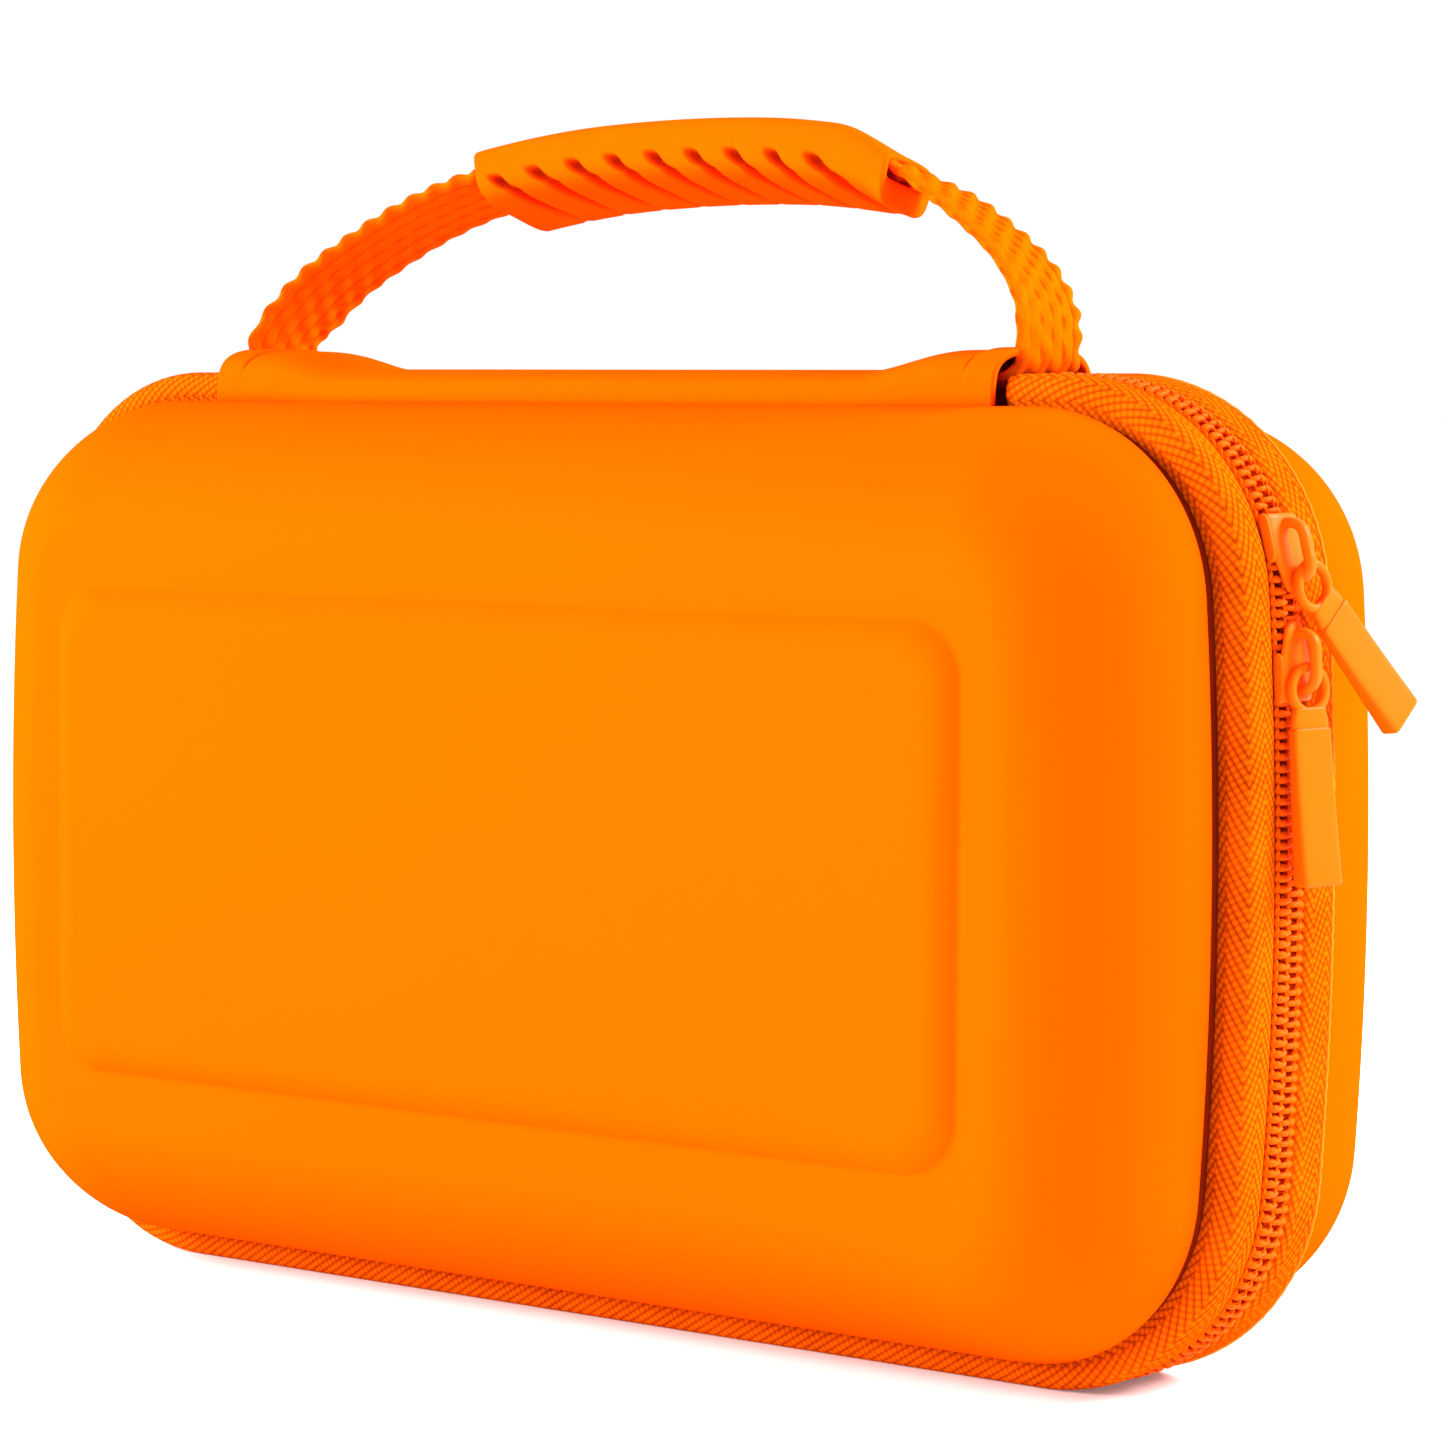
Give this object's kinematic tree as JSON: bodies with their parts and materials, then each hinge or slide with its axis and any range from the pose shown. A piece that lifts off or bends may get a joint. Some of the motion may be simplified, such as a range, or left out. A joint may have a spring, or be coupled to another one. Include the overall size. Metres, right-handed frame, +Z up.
{
  "type": "zipped carry case",
  "caption": "Moulded clamshell carry case with zip, webbing handle with soft grip, inner console tray and card flap.",
  "frame": {"origin": "middle of the case's width, on the flat bottom of the rear zip tape that the case stands on", "axes": "+X to the right seen from the front, +Y towards the back, +Z up; the zip's parting plane is at y = -8.5 mm"},
  "size_m": [0.2847, 0.093, 0.2148],
  "materials": {
    "moulded_cover": "soft touch matte",
    "seam_leatherette": "satin",
    "webbing": "woven",
    "zip_tape": "herringbone weave",
    "zip_coil": "satin",
    "painted_slider": "semi gloss",
    "soft_grip": "matte",
    "lining_fabric": "brushed",
    "tray_foam": "velvet over foam",
    "mesh": "knitted mesh",
    "stiffener": "matte"
  },
  "bodies": {
    "base": {"rear_shell": "moulded_cover", "rear_lining": "lining_fabric", "rear_zip_tape": "zip_tape", "rear_zip_coil": "zip_coil", "rear_seam_binding": "zip_tape", "zip_stops": "painted_slider", "console_tray": "tray_foam", "card_flap_hinge": "lining_fabric"},
    "spine": {"spine_cover": "seam_leatherette", "spine_core": "stiffener", "spine_lining": "lining_fabric", "handle_anchor_left": "webbing", "handle_anchor_right": "webbing"},
    "handle": {"handle_strap": "webbing", "handle_grip": "soft_grip"},
    "lid": {"front_shell": "moulded_cover", "front_lining": "lining_fabric", "front_zip_tape": "zip_tape", "front_zip_coil": "zip_coil", "front_seam_binding": "zip_tape", "mesh_pocket": "mesh", "mesh_pocket_binding": "lining_fabric"},
    "card_flap": {"card_flap_pad": "tray_foam", "card_flap_binding": "lining_fabric", "card_sleeves": "mesh"},
    "upper_slider_body": {"upper_slider": "painted_slider"},
    "upper_pull_body": {"upper_pull": "painted_slider"},
    "lower_slider_body": {"lower_slider": "painted_slider"},
    "lower_pull_body": {"lower_pull": "painted_slider"}
  },
  "joints": [
    {"name": "spine_fold", "type": "hinge", "parent": "base", "child": "spine", "pos_m": [0, 0.0052, 0.1702], "axis": [-1, 0, 0], "range_deg": [0, 60]},
    {"name": "lid_fold", "type": "hinge", "parent": "spine", "child": "lid", "pos_m": [0, -0.0237, 0.1702], "axis": [-1, 0, 0], "range_deg": [0, 60]},
    {"name": "handle_swing", "type": "hinge", "parent": "spine", "child": "handle", "pos_m": [0, -0.007, 0.1735], "axis": [1, 0, 0], "range_deg": [-12, 45]},
    {"name": "card_flap_fold", "type": "hinge", "parent": "base", "child": "card_flap", "pos_m": [0, -0.0036, 0.147], "axis": [-1, 0, 0], "range_deg": [0, 60]},
    {"name": "upper_slider_travel", "type": "hinge", "parent": "base", "child": "upper_slider_body", "pos_m": [0.09737, -0.0085, 0.1316], "axis": [0, -1, 0], "range_deg": [0, 60]},
    {"name": "upper_pull_swing", "type": "hinge", "parent": "upper_slider_body", "child": "upper_pull_body", "pos_m": [0.13845, -0.0085, 0.13802], "axis": [0.9694, 0, 0.2453], "range_deg": [-2, 40]},
    {"name": "lower_slider_travel", "type": "hinge", "parent": "base", "child": "lower_slider_body", "pos_m": [-0.568, -0.0085, 0.085], "axis": [0, 1, 0], "range_deg": [0, 6]},
    {"name": "lower_pull_flip", "type": "hinge", "parent": "lower_slider_body", "child": "lower_pull_body", "pos_m": [0.13943, -0.0085, 0.12205], "axis": [0, -1, 0], "range_deg": [0, 100]}
  ],
  "couplings": [
    {"joint": "spine_fold", "follows": "lid_fold", "ratio": 1},
    {"joint": "card_flap_fold", "follows": "lid_fold", "ratio": 1}
  ]
}
